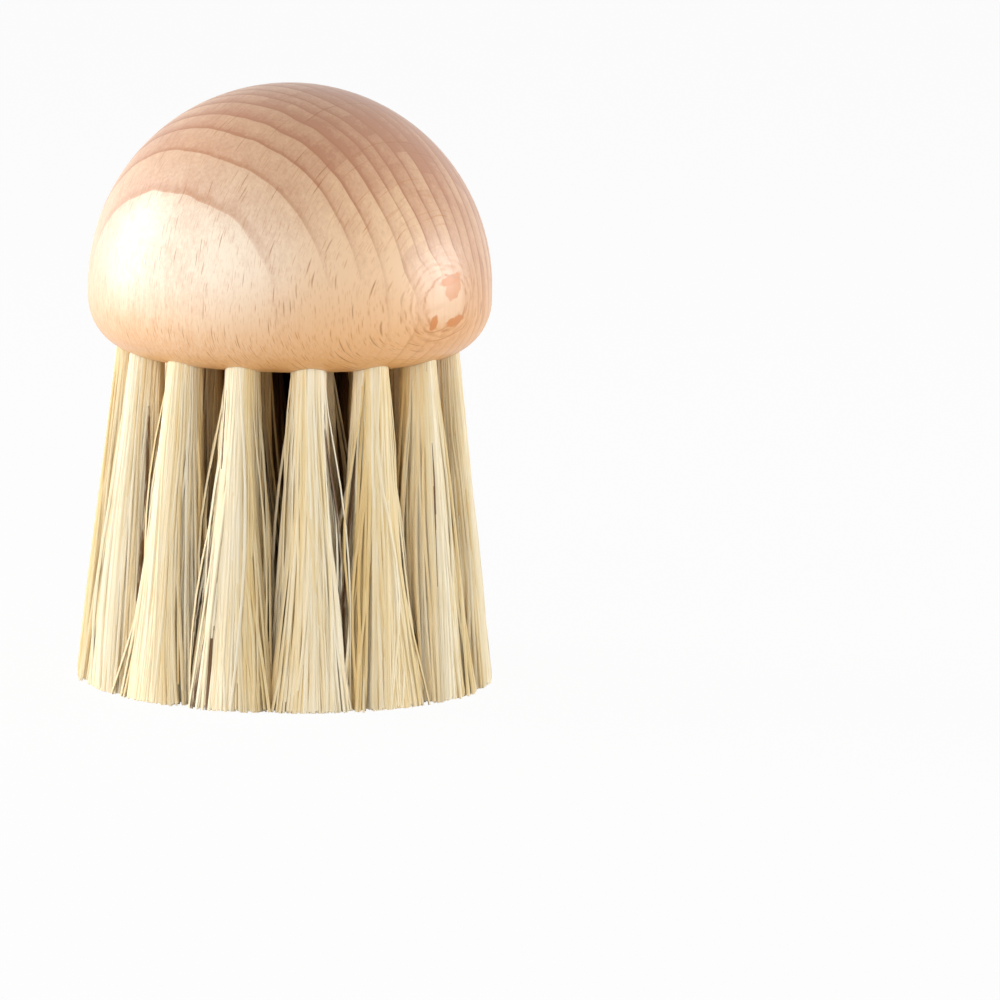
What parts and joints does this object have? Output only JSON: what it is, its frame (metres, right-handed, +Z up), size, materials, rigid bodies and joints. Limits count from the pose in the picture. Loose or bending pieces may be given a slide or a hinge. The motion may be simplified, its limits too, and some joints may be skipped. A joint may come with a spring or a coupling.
{
  "type": "vegetable brush",
  "caption": "Round palm brush for scrubbing vegetables: a turned beech dome knob with rings of splayed natural fibre tufts set in its flat underside.",
  "frame": {"origin": "centre of the bristle face, on the plane of the trimmed tips that the brush stands on, on the knob's turning axis", "axes": "+Z up along the turning axis, from the bristle face to the top of the dome; -Y faces the viewer of the picture"},
  "size_m": [0.0575, 0.0577, 0.0815],
  "materials": {
    "beech": "untreated turned beech, fine sanded, satin",
    "fibre": "undyed plant fibre, straw to cream, slightly glossy",
    "anchor_wire": "bright flat wire"
  },
  "bodies": {
    "root": {"knob": "beech", "tuft_outer_01": "fibre", "tuft_outer_02": "fibre", "tuft_outer_03": "fibre", "tuft_outer_04": "fibre", "tuft_outer_05": "fibre", "tuft_outer_06": "fibre", "tuft_outer_07": "fibre", "tuft_outer_08": "fibre", "tuft_outer_09": "fibre", "tuft_outer_10": "fibre", "tuft_outer_11": "fibre", "tuft_outer_12": "fibre", "tuft_outer_13": "fibre", "tuft_outer_14": "fibre", "tuft_outer_15": "fibre", "tuft_middle_01": "fibre", "tuft_middle_02": "fibre", "tuft_middle_03": "fibre", "tuft_middle_04": "fibre", "tuft_middle_05": "fibre", "tuft_middle_06": "fibre", "tuft_middle_07": "fibre", "tuft_middle_08": "fibre", "tuft_middle_09": "fibre", "tuft_middle_10": "fibre", "tuft_inner_01": "fibre", "tuft_inner_02": "fibre", "tuft_inner_03": "fibre", "tuft_inner_04": "fibre", "tuft_inner_05": "fibre", "anchors_outer_ring": "anchor_wire", "anchors_middle_ring": "anchor_wire", "anchors_inner_ring": "anchor_wire"}
  },
  "joints": []
}
